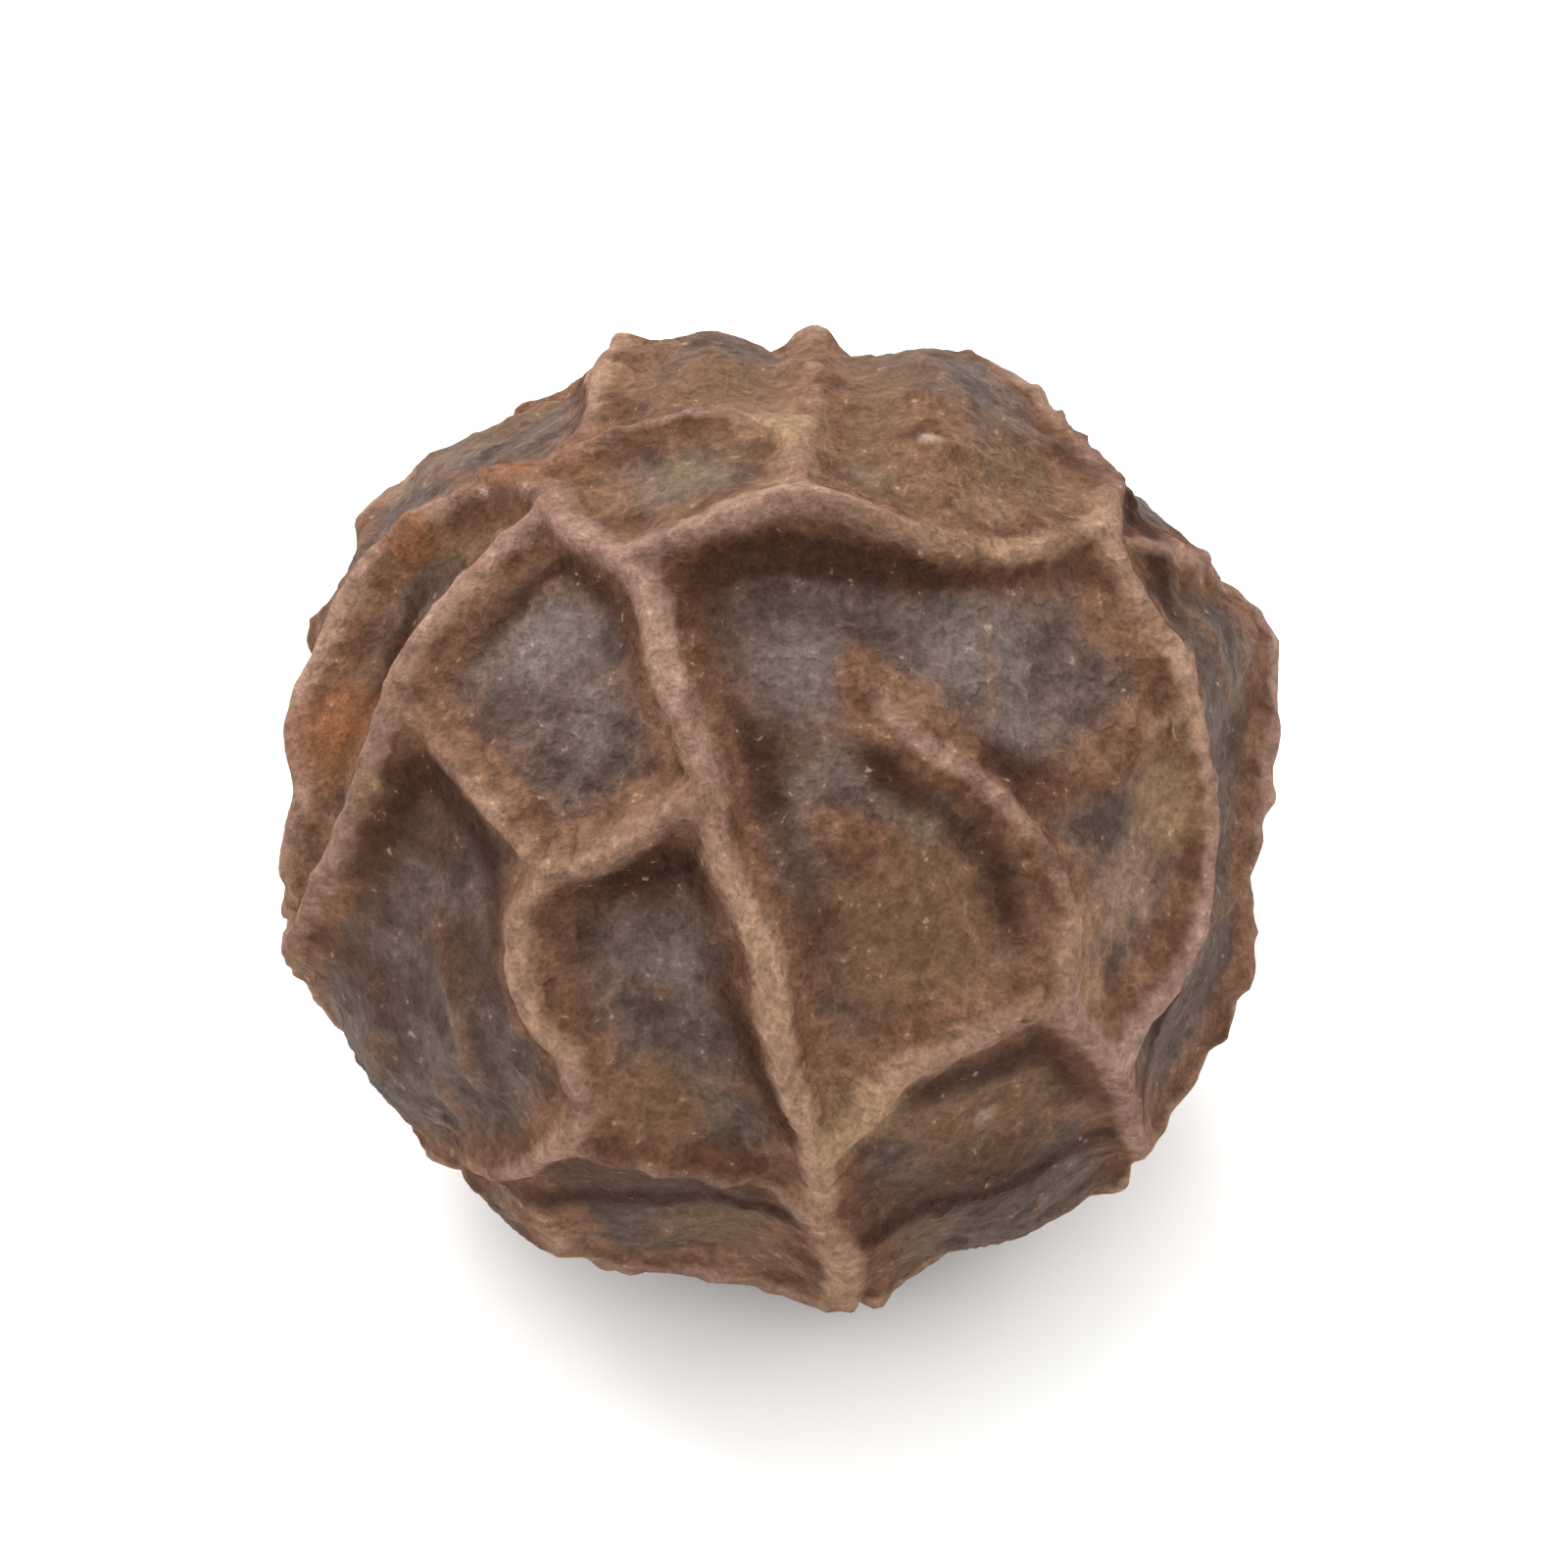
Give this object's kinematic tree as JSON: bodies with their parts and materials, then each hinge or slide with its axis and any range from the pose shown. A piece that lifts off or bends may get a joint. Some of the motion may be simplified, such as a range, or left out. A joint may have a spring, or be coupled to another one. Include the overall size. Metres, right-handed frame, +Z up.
{
  "type": "black peppercorn",
  "caption": "Dried round pepper fruit whose skin has shrunk into a net of ridges and hollows, lying on a small flat spot.",
  "frame": {"origin": "middle of the small flat spot that the corn rests on", "axes": "+Z up out of the resting surface; the side shown in the picture faces up and towards -Y"},
  "size_m": [0.0052, 0.0053, 0.0051],
  "materials": {
    "dried_skin": "dull dried fruit skin, dark grey-brown in the hollows and tan on the worn ridges"
  },
  "bodies": {
    "root": {"peppercorn": "dried_skin"}
  },
  "joints": []
}
